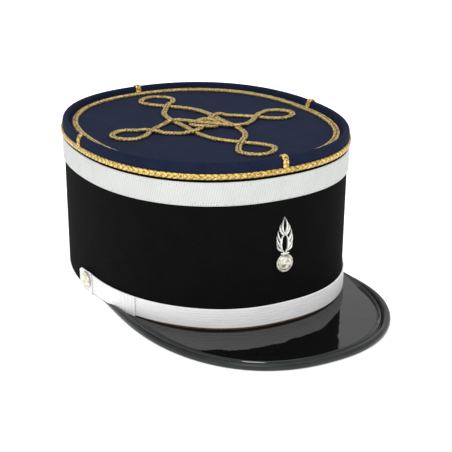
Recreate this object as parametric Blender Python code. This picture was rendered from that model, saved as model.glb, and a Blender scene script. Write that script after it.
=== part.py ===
# Stiff officer's kepi standing on a table: metres, +Z up, the front towards -Y.
# The origin is on the table, under the middle of the whole cap.
import math

import bmesh
import bpy
from mathutils import Matrix, Vector

# Oval side wall, which shortens, widens and leans forward a little towards its top
BASE_LENGTH = 0.2050
BASE_WIDTH = 0.1626
TOP_SHORTENING = 0.0067
TOP_WIDENING = 0.0036
TOP_LEAN = 0.0011
OVAL_POWER = 2.23
WALL_THICKNESS = 0.0026

# Crown: levels are heights above the table over the middle of the oval
DISC_TOP = 0.0969
DISC_THICKNESS = 0.0020
CROWN_RISE = 0.0314
RIM_HEIGHT = 0.0051
RIM_SHOULDER_DROP = 0.0031
RIM_OUTER_ROUND = 0.0026
RIM_INNER_ROUND = 0.0020
RIM_FOOT_SPREAD = 0.0006
SKIRT_THICKNESS = 0.0008
SKIRT_SHOW = 0.0008

# Laces and braids
LACE_BOTTOM = 0.0761
LACE_RISE = 0.0366
LACE_THICKNESS = 0.0008
BRAID_BOTTOM = 0.0918
BRAID_HEIGHT = 0.0039
BRAID_THICKNESS = 0.0010
DISC_BRAID_INSET = 0.0016
DISC_BRAID_WIDTH = 0.0048
DISC_BRAID_THICKNESS = 0.0009
RISER_WIDTH = 0.0035
RISER_THICKNESS = 0.0009

# Crown knot, laid by hand: a long figure, a wide figure set a little askew, and a ring
KNOT_CORD_WIDTH = 0.0038
KNOT_CORD_THICKNESS = 0.0014
KNOT_LONG_LENGTH = 0.1550
KNOT_LONG_WAIST = 0.0135
KNOT_LONG_LOOP = 0.0112
KNOT_LONG_SIDEWAYS = 0.0009
KNOT_WIDE_WIDTH = 0.1246
KNOT_WIDE_WAIST = 0.0148
KNOT_WIDE_LOOP = 0.0105
KNOT_WIDE_FORWARD = 0.0022
KNOT_WIDE_TURN = math.radians(-2.5)
KNOT_RING_RADIUS = 0.0084
KNOT_HUMP_FLAT = 0.0030
KNOT_HUMP_RAMP = 0.0045

# Peak: a flat plate and the rolled binding round its edge
PEAK_SIDE_INSET = 0.0021
PEAK_PROJECTION = 0.0523
PEAK_SHOULDER = 0.0522
PEAK_POWER = 2.26
PEAK_UNDERSIDE = 0.0008
PEAK_THICKNESS = 0.0020
PEAK_TIP_WIDTH = 0.0010
BINDING_RADIUS = 0.0022
BINDING_END_RADIUS = 0.0012
BINDING_TAPER_START = math.radians(50.0)
BINDING_TAPER_END = math.radians(64.0)
BINDING_LAST_SHARE = 0.7
SLOT_OVERRUN = 5

# Chin strap, laid along the front from button to button
STRAP_BOTTOM = 0.0038
STRAP_WIDTH = 0.0121
STRAP_THICKNESS = 0.0008
STRAP_DIP = 0.0016
STRAP_DIP_START = math.radians(64.0)
STRAP_DIP_END = math.radians(80.0)
STRAP_END = math.radians(88.0)
BACKING_THICKNESS = 0.0006
BACKING_SHOW = 0.0007
SLIDER_ANGLE = math.radians(57.4)
SLIDER_LENGTH = 0.0130
SLIDER_THICKNESS = 0.0006
BUTTON_ANGLE = math.radians(86.0)
TAB_FRONT = 0.0071
TAB_REAR = 0.0113
TAB_THICKNESS = 0.0007
TAB_BOTTOM = 0.0006
TAB_FRONT_TOP = 0.0150
TAB_REAR_TOP = 0.0112
BUTTON_HEIGHT_ABOVE_TABLE = 0.0086
BUTTON_RADIUS = 0.0056
BUTTON_DEPTH = 0.0026

# Badge: a plain ball with a flame, on the middle of the front
BADGE_BOTTOM = 0.0350
BADGE_HEIGHT = 0.0341
BADGE_HALF_WIDTH = 0.0058
BADGE_PLATE_THICKNESS = 0.0013
BADGE_BALL_RADIUS = 0.0060
BADGE_BALL_DEPTH = 0.0026

GAP = 0.0003
ROUND_SAMPLES = 64
PEAK_SAMPLES = 46
STRAP_SAMPLES = 36
CORD_SAMPLES = 112
BINDING_SIDES = 10
QUARTER_STEPS = 3

# Half of each knot figure: which width a row follows, its share of that width, its
# share of the figure's half length, and whether the braid lies over what it crosses there.
KNOT_LONG_ROWS = [
    ("waist", 1.00, 0.00, False),
    ("waist", 1.04, 0.22, False),
    ("waist", 0.80, 0.44, False),
    ("loop", 0.00, 0.64, False),
    ("loop", -0.62, 0.74, False),
    ("loop", -1.00, 0.86, False),
    ("loop", -0.64, 0.96, False),
    ("loop", 0.00, 1.00, False),
    ("loop", 0.64, 0.96, False),
    ("loop", 1.00, 0.86, False),
    ("loop", 0.62, 0.74, False),
    ("loop", 0.00, 0.64, True),
    ("waist", -0.80, 0.44, False),
    ("waist", -1.04, 0.22, False),
]
KNOT_WIDE_ROWS = [
    ("waist", 0.00, 0.000, False),
    ("waist", 0.98, 0.225, True),
    ("waist", 0.70, 0.410, False),
    ("loop", 0.00, 0.600, False),
    ("loop", -0.64, 0.700, False),
    ("loop", -1.00, 0.830, False),
    ("loop", -0.66, 0.950, False),
    ("loop", 0.00, 1.000, False),
    ("loop", 0.66, 0.950, False),
    ("loop", 1.00, 0.830, False),
    ("loop", 0.64, 0.700, False),
    ("loop", 0.00, 0.600, True),
    ("waist", -0.70, 0.410, False),
    ("waist", -0.98, 0.225, True),
]

# Half of the flame's outline, from the collar to the middle tip: shares of the
# badge's half width and of its height.
FLAME_ROWS = [
    (0.36, 0.335),
    (0.42, 0.420),
    (0.98, 0.540),
    (0.70, 0.590),
    (1.00, 0.740),
    (0.66, 0.730),
    (0.78, 0.880),
    (0.46, 0.830),
    (0.34, 0.960),
    (0.18, 0.860),
    (0.00, 1.000),
]

# The badge's ball and the buttons, turned: shares of their radius and of their depth.
BALL_ROWS = [
    (1.00, 0.00),
    (1.00, 0.34),
    (0.90, 0.62),
    (0.70, 0.82),
    (0.40, 0.96),
    (0.08, 1.00),
]
BUTTON_ROWS = [
    (0.80, 0.00),
    (1.00, 0.18),
    (1.00, 0.48),
    (0.92, 0.60),
    (0.84, 0.52),
    (0.62, 0.80),
    (0.32, 0.96),
    (0.08, 1.00),
]

TOP_LENGTH = BASE_LENGTH - TOP_SHORTENING
TOP_WIDTH = BASE_WIDTH + TOP_WIDENING
WALL_TOP = DISC_TOP - DISC_THICKNESS - GAP
SKIRT_OUTSIDE = GAP + SKIRT_THICKNESS
SKIRT_BOTTOM = BRAID_BOTTOM - SKIRT_SHOW
BRAID_INSIDE = SKIRT_OUTSIDE + GAP
BRAID_TOP = BRAID_BOTTOM + BRAID_HEIGHT
SHOULDER_LEVEL = DISC_TOP + RIM_HEIGHT - RIM_SHOULDER_DROP
RIDGE_OFFSET = SKIRT_OUTSIDE - RIM_OUTER_ROUND
FOOT_OFFSET = RIDGE_OFFSET - RIM_INNER_ROUND - RIM_FOOT_SPREAD
PEAK_TOP = PEAK_UNDERSIDE + PEAK_THICKNESS
PEAK_HALF_WIDTH = BASE_WIDTH / 2 - PEAK_SIDE_INSET
PEAK_REACH = BASE_LENGTH / 2 + PEAK_PROJECTION - PEAK_SHOULDER
STRAP_INSIDE = 2 * GAP + BACKING_THICKNESS
STRAP_OUTSIDE = STRAP_INSIDE + STRAP_THICKNESS
TAB_INSIDE = STRAP_OUTSIDE + GAP
TAB_OUTSIDE = TAB_INSIDE + TAB_THICKNESS
SIDE = math.pi / 2


def oval_radius(angle, level):
    """Distance from the oval's axis to the side wall's outer face; angle 0 is the front."""
    share = level / WALL_TOP
    half_length = (BASE_LENGTH + (TOP_LENGTH - BASE_LENGTH) * share) / 2
    half_width = (BASE_WIDTH + (TOP_WIDTH - BASE_WIDTH) * share) / 2
    along = abs(math.cos(angle) / half_length) ** OVAL_POWER
    across = abs(math.sin(angle) / half_width) ** OVAL_POWER
    return (along + across) ** (-1 / OVAL_POWER) + TOP_LEAN * share * math.cos(angle)


def crown_centre():
    """The oval's place in Y that puts the whole cap's middle at the origin."""
    front = PEAK_SHOULDER + PEAK_REACH + BINDING_RADIUS
    braid_rear = oval_radius(math.pi, BRAID_TOP) + BRAID_INSIDE + BRAID_THICKNESS
    return (front - max(oval_radius(math.pi, 0.0), braid_rear)) / 2


CENTRE_Y = crown_centre()


def plan_point(angle, radius, height):
    """A point given round the oval's axis."""
    return Vector((radius * math.sin(angle), CENTRE_Y - radius * math.cos(angle), height))


def wall_point(angle, offset, level, rise=0.0):
    """A point outside the side wall; rise tilts its level up towards the front."""
    radius = oval_radius(angle, level) + offset
    return plan_point(angle, radius, level + rise * radius * math.cos(angle))


def on_crown(x, y, above):
    """A point above the crown's disc, which is higher at the front."""
    return Vector((x, CENTRE_Y + y, DISC_TOP + above - CROWN_RISE * y))


def smooth_step(value):
    value = min(max(value, 0.0), 1.0)
    return value * value * (3 - 2 * value)


def spread(first, last, count):
    return [first + (last - first) * i / (count - 1) for i in range(count)]


def turn(count):
    return [2 * math.pi * i / count for i in range(count)]


def last_angle(holds, first, last):
    """The largest angle between first and last at which holds is still true."""
    for _ in range(40):
        middle = (first + last) / 2
        if holds(middle):
            first = middle
        else:
            last = middle
    return first


def make_material(name, colour, roughness, metallic=0.0):
    material = bpy.data.materials.new(name)
    material.use_nodes = True
    shader = material.node_tree.nodes["Principled BSDF"]
    shader.inputs["Base Color"].default_value = (*colour, 1.0)
    shader.inputs["Roughness"].default_value = roughness
    shader.inputs["Metallic"].default_value = metallic
    return material


def add_object(name, points, faces, material):
    """A closed mesh object with its faces turned outwards."""
    mesh = bpy.data.meshes.new(name)
    mesh.from_pydata(points, [], faces)
    work = bmesh.new()
    work.from_mesh(mesh)
    bmesh.ops.recalc_face_normals(work, faces=work.faces)
    work.to_mesh(mesh)
    work.free()
    mesh.shade_smooth()
    mesh.set_sharp_from_angle(angle=math.radians(35))
    if material:
        mesh.materials.append(material)
    item = bpy.data.objects.new(name, mesh)
    bpy.context.collection.objects.link(item)
    return item


def loft(name, loops, closed, material):
    """A solid through successive loops of points; open lofts are capped at both ends."""
    size = len(loops[0])
    points = [point for loop in loops for point in loop]
    faces = []
    spans = len(loops) if closed else len(loops) - 1
    for row in range(spans):
        here = row * size
        there = (row + 1) % len(loops) * size
        for i in range(size):
            j = (i + 1) % size
            faces.append((here + i, here + j, there + j, there + i))
    if not closed:
        faces.append(tuple(range(size)))
        faces.append(tuple(range(len(points) - size, len(points))))
    return add_object(name, points, faces, material)


def ring_solid(name, profile, closed, material):
    """Turns a profile of (offset, level, rise) rows once round the side wall."""
    angles = turn(ROUND_SAMPLES)
    loops = [[wall_point(a, *row) for a in angles] for row in profile]
    return loft(name, loops, closed, material)


def arc_solid(name, angles, section, material):
    """Carries a section of (offset, height) points along part of the side wall."""
    loops = [[wall_point(a, *point) for point in section(a)] for a in angles]
    return loft(name, loops, False, material)


def make_cutter(item):
    item.hide_render = True
    item.display_type = "WIRE"
    return item


def combine(item, operation, other):
    modifier = item.modifiers.new(operation.lower(), "BOOLEAN")
    modifier.operation = operation
    modifier.solver = "EXACT"
    modifier.object = make_cutter(other)


def rim_curve():
    """The rolled rim's section, from its outer shoulder over the ridge to its inner side."""
    rows = []
    for i in range(2 * QUARTER_STEPS + 1):
        a = math.pi / 2 * i / QUARTER_STEPS
        reach = RIM_OUTER_ROUND if i <= QUARTER_STEPS else RIM_INNER_ROUND
        offset = RIDGE_OFFSET + reach * math.cos(a)
        rows.append((offset, SHOULDER_LEVEL + RIM_SHOULDER_DROP * math.sin(a)))
    return rows


def build_side_wall(cloth):
    """The stiff black tube round the head, open below."""
    profile = [
        (0.0, 0.0, 0.0),
        (0.0, WALL_TOP, CROWN_RISE),
        (-WALL_THICKNESS, WALL_TOP, CROWN_RISE),
        (-WALL_THICKNESS, 0.0, 0.0),
    ]
    ring_solid("side_wall", profile, True, cloth)


def build_crown_top(cloth):
    """The sunken disc, its rolled rim and the skirt that covers the wall's top edge."""
    rows = [(FOOT_OFFSET, DISC_TOP)]
    rows += reversed(rim_curve())
    rows += [
        (SKIRT_OUTSIDE, SKIRT_BOTTOM),
        (GAP, SKIRT_BOTTOM),
        (GAP, DISC_TOP - DISC_THICKNESS),
    ]
    ring_solid("crown_top", [(*row, CROWN_RISE) for row in rows], False, cloth)


def build_bands(lace, gold):
    """The broad lace under the crown, the braid above it and the braid on the disc."""
    lace_outside = GAP + LACE_THICKNESS
    lace_top = SKIRT_BOTTOM - GAP
    lace_rows = [
        (GAP, LACE_BOTTOM, LACE_RISE),
        (lace_outside, LACE_BOTTOM, LACE_RISE),
        (lace_outside, lace_top, CROWN_RISE),
        (GAP, lace_top, CROWN_RISE),
    ]
    ring_solid("lace_band", lace_rows, True, lace)

    braid_outside = BRAID_INSIDE + BRAID_THICKNESS
    braid_rows = [
        (BRAID_INSIDE, BRAID_BOTTOM, CROWN_RISE),
        (braid_outside, BRAID_BOTTOM, CROWN_RISE),
        (braid_outside, BRAID_TOP, CROWN_RISE),
        (BRAID_INSIDE, BRAID_TOP, CROWN_RISE),
    ]
    ring_solid("rim_braid", braid_rows, True, gold)

    outer = FOOT_OFFSET - DISC_BRAID_INSET
    inner = outer - DISC_BRAID_WIDTH
    low = DISC_TOP + GAP
    high = low + DISC_BRAID_THICKNESS
    disc_rows = [
        (outer, low, CROWN_RISE),
        (outer, high, CROWN_RISE),
        (inner, high, CROWN_RISE),
        (inner, low, CROWN_RISE),
    ]
    ring_solid("disc_braid", disc_rows, True, gold)


def pushed_out(path, distance):
    """A path of (offset, level) points moved outwards, square to itself."""
    moved = []
    for i, (offset, level) in enumerate(path):
        before = path[max(i - 1, 0)]
        after = path[min(i + 1, len(path) - 1)]
        run = after[0] - before[0]
        climb = after[1] - before[1]
        length = math.hypot(run, climb)
        moved.append((offset + distance * climb / length, level - distance * run / length))
    return moved


def build_risers(gold):
    """Four short braids that climb from the rim braid over the ridge to the disc."""
    path = [(SKIRT_OUTSIDE, BRAID_TOP + GAP)]
    path += rim_curve()
    drop = SHOULDER_LEVEL - DISC_TOP
    end_share = 1 - (GAP + RISER_THICKNESS / 2) / drop
    side_offset = RIDGE_OFFSET - RIM_INNER_ROUND
    path.append((side_offset - RIM_FOOT_SPREAD * end_share, SHOULDER_LEVEL - drop * end_share))
    under = pushed_out(path, GAP)
    over = pushed_out(path, GAP + RISER_THICKNESS)
    places = [("front", 0.0), ("left", SIDE), ("rear", math.pi), ("right", -SIDE)]
    for side, angle in places:
        outward = Vector((math.sin(angle), -math.cos(angle), 0))
        sideways = Vector((math.cos(angle), math.sin(angle), 0))
        loops = []
        for low, high in zip(under, over):
            loop = []
            for (offset, level), shift in [(low, -1), (low, 1), (high, 1), (high, -1)]:
                radius = oval_radius(angle, level) + offset
                place = outward * radius + sideways * (shift * RISER_WIDTH / 2)
                loop.append(on_crown(place.x, place.y, level - DISC_TOP))
            loops.append(loop)
        loft("riser_" + side, loops, False, gold)


def closed_curve(rows, count):
    """A smooth closed curve through rows of (x, y), and how many samples lie between rows."""
    total = len(rows)
    per_row = count // total
    points = []
    for i in range(total):
        a, b, c, d = (Vector(rows[(i + k) % total]) for k in (-1, 0, 1, 2))
        bend = 2 * a - 5 * b + 4 * c - d
        twist = 3 * b - a - 3 * c + d
        for j in range(per_row):
            t = j / per_row
            points.append(b + ((c - a) * t + bend * t ** 2 + twist * t ** 3) / 2)
    return points, per_row


def crest_samples(over, per_row):
    """Samples where a cord rides over another: each marked row, and the run between two of them."""
    crests = []
    for i, marked in enumerate(over):
        if marked:
            crests.append(i * per_row)
            if over[(i + 1) % len(over)]:
                crests += range(i * per_row + 1, (i + 1) * per_row)
    return crests


def cord_lift(points, crests):
    """How far up a cord rides at each point: it humps over what lies under its crests."""
    size = len(points)
    steps = [(points[(i + 1) % size] - points[i]).length for i in range(size)]
    lifts = []
    for i in range(size):
        lift = 0.0
        for crest in crests:
            low, high = sorted((i, crest))
            inside = sum(steps[low:high])
            distance = min(inside, sum(steps) - inside)
            lift = max(lift, 1 - smooth_step((distance - KNOT_HUMP_FLAT) / KNOT_HUMP_RAMP))
        lifts.append(lift * (KNOT_CORD_THICKNESS + GAP))
    return lifts


def cord_on_disc(name, points, crests, gold):
    """A flat-bottomed cord laid on the disc along a closed path."""
    size = len(points)
    lifts = cord_lift(points, crests)
    half = KNOT_CORD_WIDTH / 2
    section = [(-half, 0.0), (half, 0.0), (0.8 * half, 0.7), (0.0, 1.0), (-0.8 * half, 0.7)]
    loops = []
    for i, point in enumerate(points):
        ahead = points[(i + 1) % size] - points[i - 1]
        sideways = Vector((ahead.y, -ahead.x)).normalized()
        loop = []
        for shift, share in section:
            place = point + sideways * shift
            loop.append(on_crown(place.x, place.y, GAP + lifts[i] + share * KNOT_CORD_THICKNESS))
        loops.append(loop)
    loft(name, loops, True, gold)


def build_knot(gold):
    """The crown knot: two figures of braid that cross each other, and the ring between them."""
    middle = Vector((KNOT_LONG_SIDEWAYS, 0))
    sizes = {"waist": KNOT_LONG_WAIST, "loop": KNOT_LONG_LOOP}
    reach = KNOT_LONG_LENGTH / 2
    half = [(side * sizes[kind], end * reach) for kind, side, end, _ in KNOT_LONG_ROWS]
    rows = half + [(-x, -y) for x, y in half]
    points, per_row = closed_curve(rows, CORD_SAMPLES)
    over = [row[3] for row in KNOT_LONG_ROWS] * 2
    cord_on_disc("knot_long", [middle + p for p in points], crest_samples(over, per_row), gold)

    middle = Vector((KNOT_LONG_SIDEWAYS, -KNOT_WIDE_FORWARD))
    skew = Matrix.Rotation(KNOT_WIDE_TURN, 2)
    sizes = {"waist": KNOT_WIDE_WAIST, "loop": KNOT_WIDE_LOOP}
    reach = KNOT_WIDE_WIDTH / 2
    half = [(end * reach, side * sizes[kind]) for kind, side, end, _ in KNOT_WIDE_ROWS]
    rows = half + [(-x, y) for x, y in half]
    points, per_row = closed_curve(rows, CORD_SAMPLES)
    over = [row[3] for row in KNOT_WIDE_ROWS] * 2
    second_pass = len(half)
    over[second_pass] = True
    cord_on_disc("knot_wide", [middle + skew @ p for p in points], crest_samples(over, per_row), gold)

    ring = turn(ROUND_SAMPLES // 2)
    points = [middle + Vector((math.cos(a), math.sin(a))) * KNOT_RING_RADIUS for a in ring]
    crests = [len(ring) // 8, len(ring) // 8 + len(ring) // 2]
    cord_on_disc("knot_ring", points, crests, gold)


def peak_radius(angle):
    """Distance from the oval's axis to the middle of the peak's binding."""
    low, high = 0.0, 2 * (PEAK_SHOULDER + PEAK_REACH)
    for _ in range(50):
        middle = (low + high) / 2
        x = abs(middle * math.sin(angle)) / PEAK_HALF_WIDTH
        y = max(middle * math.cos(angle) - PEAK_SHOULDER, 0.0) / PEAK_REACH
        if x ** PEAK_POWER + y ** PEAK_POWER < 1:
            low = middle
        else:
            high = middle
    return low


def binding_size(angle):
    """The binding's radius, which thins towards its two ends."""
    share = (abs(angle) - BINDING_TAPER_START) / (BINDING_TAPER_END - BINDING_TAPER_START)
    return BINDING_RADIUS + (BINDING_END_RADIUS - BINDING_RADIUS) * smooth_step(share)


def plate_loops(angles, grow):
    """Sections of the peak's plate, from the side wall to its edge inside the binding."""
    loops = []
    for angle in angles:
        inner = oval_radius(angle, 0.0) + GAP - SLOT_OVERRUN * grow
        outer = peak_radius(angle) - GAP + grow
        low = PEAK_UNDERSIDE - grow
        high = PEAK_TOP + grow
        corners = [(inner, low), (outer, low), (outer, high), (inner, high)]
        loops.append([plan_point(angle, r, z) for r, z in corners])
    return loops


def overhang(angle):
    """How far the middle of the peak's binding stands outside the side wall."""
    return peak_radius(angle) - oval_radius(angle, 0.0)


def build_peak(patent, leather):
    """The flat peak, and the rolled binding that grips its edge and dies into the side wall."""
    plate_end = last_angle(lambda a: overhang(a) > 2 * GAP + PEAK_TIP_WIDTH, 0.0, SIDE)
    loft("peak", plate_loops(spread(-plate_end, plate_end, PEAK_SAMPLES), 0.0), False, patent)

    binding_end = last_angle(
        lambda a: overhang(a) + BINDING_LAST_SHARE * binding_size(a) > GAP, 0.0, SIDE)
    loops = []
    for angle in spread(-binding_end, binding_end, PEAK_SAMPLES + 6):
        size = binding_size(angle)
        middle = peak_radius(angle)
        loops.append([plan_point(angle, middle + size * math.cos(t), size + size * math.sin(t))
                      for t in turn(BINDING_SIDES)])
    binding = loft("peak_binding", loops, False, leather)

    slot_end = plate_end + GAP / oval_radius(plate_end, 0.0)
    slot = loft("plate_room", plate_loops(spread(-slot_end, slot_end, PEAK_SAMPLES), GAP), False, None)
    combine(binding, "DIFFERENCE", slot)
    wall_loops = []
    for height in (-BINDING_RADIUS, 3 * BINDING_RADIUS):
        wall_loops.append([plan_point(a, oval_radius(a, 0.0) + GAP, height)
                           for a in turn(ROUND_SAMPLES)])
    combine(binding, "DIFFERENCE", loft("wall_room", wall_loops, False, None))


def strap_edge(angle):
    """Height of the chin strap's lower edge, which dips towards the buttons."""
    share = (abs(angle) - STRAP_DIP_START) / (STRAP_DIP_END - STRAP_DIP_START)
    return STRAP_BOTTOM - STRAP_DIP * smooth_step(share)


def strap_section(inside, outside, below, above):
    """Section rows of a band that follows the strap, past its two edges by given amounts."""
    def section(angle):
        low = strap_edge(angle) - below
        high = strap_edge(angle) + STRAP_WIDTH + above
        return [(inside, low), (outside, low), (outside, high), (inside, high)]
    return section


def build_strap(silver, leather):
    """The lace strap, the leather under it and the two sliders round it."""
    section = strap_section(STRAP_INSIDE, STRAP_OUTSIDE, 0.0, 0.0)
    arc_solid("chin_strap", spread(-STRAP_END, STRAP_END, STRAP_SAMPLES + 1), section, silver)

    half_slider = SLIDER_LENGTH / 2 / oval_radius(SLIDER_ANGLE, STRAP_BOTTOM)
    clear = GAP / oval_radius(SLIDER_ANGLE, STRAP_BOTTOM)
    backing_end = SLIDER_ANGLE - half_slider - clear
    section = strap_section(GAP, GAP + BACKING_THICKNESS, BACKING_SHOW, 0.0)
    arc_solid("strap_backing", spread(-backing_end, backing_end, STRAP_SAMPLES - 8), section, leather)

    outer = strap_section(GAP, TAB_INSIDE + SLIDER_THICKNESS, BACKING_SHOW, BACKING_SHOW)
    inner = strap_section(GAP + BACKING_THICKNESS, TAB_INSIDE, GAP, GAP)
    for side, sign in [("left", 1), ("right", -1)]:
        angles = [sign * a for a in spread(SLIDER_ANGLE - half_slider, SLIDER_ANGLE + half_slider, 4)]
        loops = [[wall_point(a, *point) for point in outer(a)] for a in angles]
        loops += [[wall_point(a, *point) for point in inner(a)] for a in reversed(angles)]
        loft("slider_" + side, loops, True, silver)


def build_tabs(silver):
    """The stiff end of the strap under each button, lower towards the rear."""
    reach = oval_radius(BUTTON_ANGLE, STRAP_BOTTOM)
    front = BUTTON_ANGLE - TAB_FRONT / reach
    rear = BUTTON_ANGLE + TAB_REAR / reach

    def section(angle):
        share = (abs(angle) - front) / (rear - front)
        top = TAB_FRONT_TOP + (TAB_REAR_TOP - TAB_FRONT_TOP) * share
        return [(TAB_INSIDE, TAB_BOTTOM), (TAB_OUTSIDE, TAB_BOTTOM), (TAB_OUTSIDE, top), (TAB_INSIDE, top)]

    for side, sign in [("left", 1), ("right", -1)]:
        arc_solid("strap_tab_" + side, [sign * a for a in spread(front, rear, 6)], section, silver)


def turned(name, profile, sides, material):
    """A solid turned round Z from (radius, height) rows, closed at both ends."""
    loops = []
    for radius, height in profile:
        loops.append([Vector((radius * math.cos(a), radius * math.sin(a), height)) for a in turn(sides)])
    return loft(name, loops, False, material)


def build_buttons(metal):
    """Domed side buttons with a raised rim, facing outwards from the tabs."""
    rows = [(r * BUTTON_RADIUS, h * BUTTON_DEPTH) for r, h in BUTTON_ROWS]
    half_view = BUTTON_RADIUS / oval_radius(BUTTON_ANGLE, BUTTON_HEIGHT_ABOVE_TABLE)
    for side, sign in [("left", 1), ("right", -1)]:
        seat = []
        for angle in (BUTTON_ANGLE - half_view, BUTTON_ANGLE, BUTTON_ANGLE + half_view):
            seat.append(wall_point(sign * angle, TAB_OUTSIDE + GAP, BUTTON_HEIGHT_ABOVE_TABLE))
        along = seat[2] - seat[0]
        button = turned("button_" + side, rows, 24, metal)
        button.location = seat[1]
        button.rotation_euler = (SIDE, 0, math.atan2(sign * along.y, sign * along.x))


def build_badge(metal):
    """A stamped ball and flame, flat against the front of the side wall and leaning as it does."""
    front = oval_radius(0.0, BADGE_BOTTOM)
    lean = math.atan((front - oval_radius(0.0, BADGE_BOTTOM + BADGE_HEIGHT)) / BADGE_HEIGHT)
    foot = Vector((0, CENTRE_Y - front - GAP / math.cos(lean), BADGE_BOTTOM))
    half = [(x * BADGE_HALF_WIDTH, z * BADGE_HEIGHT) for x, z in FLAME_ROWS]
    outline = half + [(-x, z) for x, z in reversed(half[:-1])]
    loops = []
    for depth in (0.0, BADGE_PLATE_THICKNESS):
        loops.append([Vector((x, -depth, z)) for x, z in outline])
    flame = loft("badge", loops, False, metal)
    flame.location = foot
    flame.rotation_euler = (-lean, 0, 0)

    rows = [(r * BADGE_BALL_RADIUS, h * BADGE_BALL_DEPTH) for r, h in BALL_ROWS]
    ball = turned("badge_ball", rows, 20, None)
    ball.location = foot + Vector((0, math.sin(lean), math.cos(lean))) * BADGE_BALL_RADIUS
    ball.rotation_euler = (SIDE - lean, 0, 0)
    combine(flame, "UNION", ball)


def build():
    for item in list(bpy.data.objects):
        bpy.data.objects.remove(item)
    black_cloth = make_material("black_cloth", (0.007, 0.007, 0.009), 0.85)
    navy_cloth = make_material("navy_cloth", (0.020, 0.024, 0.056), 0.9)
    silver_lace = make_material("silver_lace", (0.79, 0.80, 0.76), 0.5)
    gold_braid = make_material("gold_braid", (0.58, 0.35, 0.09), 0.42, 0.6)
    patent = make_material("patent_leather", (0.006, 0.006, 0.006), 0.06)
    leather = make_material("black_leather", (0.012, 0.012, 0.011), 0.35)
    brown_leather = make_material("brown_leather", (0.018, 0.011, 0.007), 0.6)
    button_metal = make_material("button_metal", (0.72, 0.70, 0.58), 0.3, 0.8)
    badge_metal = make_material("badge_metal", (0.70, 0.70, 0.65), 0.3, 0.9)
    build_side_wall(black_cloth)
    build_crown_top(navy_cloth)
    build_bands(silver_lace, gold_braid)
    build_risers(gold_braid)
    build_knot(gold_braid)
    build_peak(patent, leather)
    build_strap(silver_lace, brown_leather)
    build_tabs(silver_lace)
    build_buttons(button_metal)
    build_badge(badge_metal)


build()
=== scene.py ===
# Looks of the stiff officer's kepi: metres, +Z up, the front towards -Y.
import math

import bpy
import numpy as np
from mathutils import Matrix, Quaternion, Vector


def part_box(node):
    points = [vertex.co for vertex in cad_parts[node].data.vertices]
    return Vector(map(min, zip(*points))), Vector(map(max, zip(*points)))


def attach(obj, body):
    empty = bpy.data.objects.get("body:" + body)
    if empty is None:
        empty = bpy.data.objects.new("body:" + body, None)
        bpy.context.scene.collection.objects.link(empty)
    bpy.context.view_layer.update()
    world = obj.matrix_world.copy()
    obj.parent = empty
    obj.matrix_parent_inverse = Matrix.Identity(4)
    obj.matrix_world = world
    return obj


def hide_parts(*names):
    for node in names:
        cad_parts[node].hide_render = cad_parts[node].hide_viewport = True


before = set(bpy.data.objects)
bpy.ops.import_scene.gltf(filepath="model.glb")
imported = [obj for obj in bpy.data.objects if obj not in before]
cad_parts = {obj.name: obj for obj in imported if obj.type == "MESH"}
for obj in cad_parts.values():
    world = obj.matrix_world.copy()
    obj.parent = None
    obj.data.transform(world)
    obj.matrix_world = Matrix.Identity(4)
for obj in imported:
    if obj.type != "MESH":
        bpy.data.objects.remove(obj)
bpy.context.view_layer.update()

# Camera, as fitted to the photograph: angles in degrees, lens and sensor in millimetres
CAMERA_AZIMUTH = -29.169
CAMERA_ELEVATION = 21.732
CAMERA_ROLL = 0.378
CAMERA_DISTANCE = 0.8033
CAMERA_LENS_MM = 97.75
CAMERA_SENSOR_MM = 36.0
AIM_HEIGHT = 0.0279
AIM_SIDEWAYS = 0.0156

# Studio
FLOOR_REACH = 6.0
FLOOR_DROP = 0.0002
DOME_STRENGTH = 0.92

# The oval side wall, as in the solids
WALL_LOW, WALL_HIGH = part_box("side_wall")
CENTRE_Y = (WALL_LOW.y + WALL_HIGH.y) / 2
BASE_LENGTH = WALL_HIGH.y - WALL_LOW.y
TOP_WIDTH = WALL_HIGH.x - WALL_LOW.x
TOP_WIDENING = 0.0036
TOP_SHORTENING = 0.0067
BASE_WIDTH = TOP_WIDTH - TOP_WIDENING
TOP_LENGTH = BASE_LENGTH - TOP_SHORTENING
TOP_LEAN = 0.0011
OVAL_POWER = 2.23
WALL_THICKNESS = 0.0026
WALL_TOP = 0.0946
WALL_EDGE_ROUND = 0.0009
WALL_FOLD_TOP = 0.0030
CLOTH_RIPPLE = 0.00006
SEAM_HALF_ANGLE = 0.006
SEAM_DEPTH = 0.0004
GAP = 0.0003

# Crown levels over the middle of the oval
DISC_TOP = 0.0969
DISC_THICKNESS = 0.0020
DISC_SAG = 0.0003
DISC_SHARES = (0.02, 0.985)
CROWN_RISE = 0.0314
RIM_HEIGHT = 0.0051
RIM_SHOULDER_DROP = 0.0031
RIM_OUTER_ROUND = 0.0022
RIM_INNER_ROUND = 0.0020
RIM_FOOT_SPREAD = 0.0006
SKIRT_THICKNESS = 0.0004
SKIRT_BEND = 0.0015
SKIRT_OUTSIDE = GAP + SKIRT_THICKNESS
SHOULDER_LEVEL = DISC_TOP + RIM_HEIGHT - RIM_SHOULDER_DROP
RIDGE_OFFSET = SKIRT_OUTSIDE - RIM_OUTER_ROUND
FOOT_OFFSET = RIDGE_OFFSET - RIM_INNER_ROUND - RIM_FOOT_SPREAD

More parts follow.
